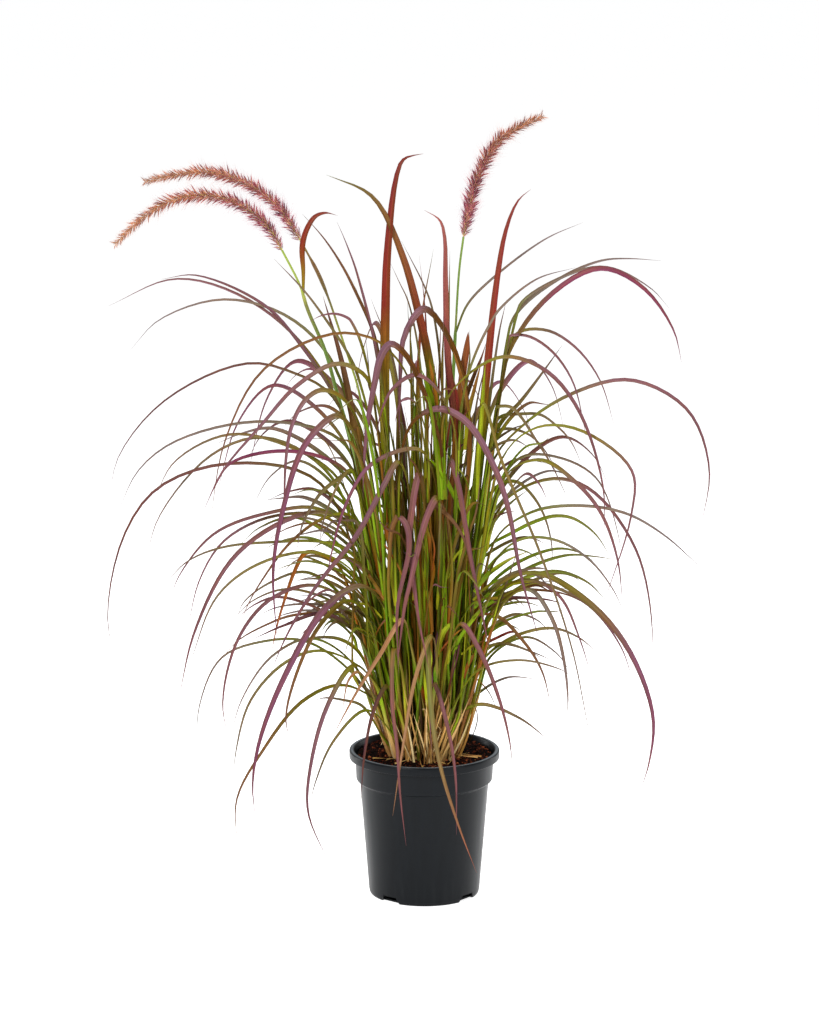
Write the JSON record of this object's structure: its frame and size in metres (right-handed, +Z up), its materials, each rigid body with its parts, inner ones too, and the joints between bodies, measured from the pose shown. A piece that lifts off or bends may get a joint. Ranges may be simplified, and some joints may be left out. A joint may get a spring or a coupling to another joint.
{
  "type": "potted red fountain grass",
  "caption": "Arching clump of burgundy and green fountain grass with bristly flower plumes, growing in a round black nursery pot.",
  "frame": {"origin": "centre of the underside of the pot, where its axis meets the surface it stands on", "axes": "+Z up along the pot axis; the side shown in the picture faces -Y, and +X is to its right"},
  "size_m": [0.8773, 0.5835, 1.1542],
  "materials": {
    "pot_plastic": "satin",
    "soil": "matte",
    "leaf_blade": "satin",
    "green_stem": "satin",
    "flower_spikelets": "matte"
  },
  "bodies": {
    "root": {"nursery_pot": "pot_plastic", "potting_soil": "soil", "middle_front_tuft": "leaf_blade", "middle_left_tuft": "leaf_blade", "middle_right_tuft": "leaf_blade", "front_tuft": "leaf_blade", "left_tuft": "leaf_blade", "right_front_tuft": "leaf_blade", "right_tuft": "leaf_blade", "right_back_tuft": "leaf_blade", "back_tuft_1": "leaf_blade", "back_tuft_2": "leaf_blade", "back_tuft_3": "leaf_blade", "back_tuft_4": "leaf_blade", "back_tuft_5": "leaf_blade", "back_tuft_6": "leaf_blade", "back_tuft_7": "leaf_blade", "back_tuft_8": "leaf_blade", "flower_stem_1": "green_stem", "flower_stem_2": "green_stem", "flower_stem_3": "green_stem", "flower_plume_1": "flower_spikelets", "flower_plume_2": "flower_spikelets", "flower_plume_3": "flower_spikelets"}
  },
  "joints": []
}
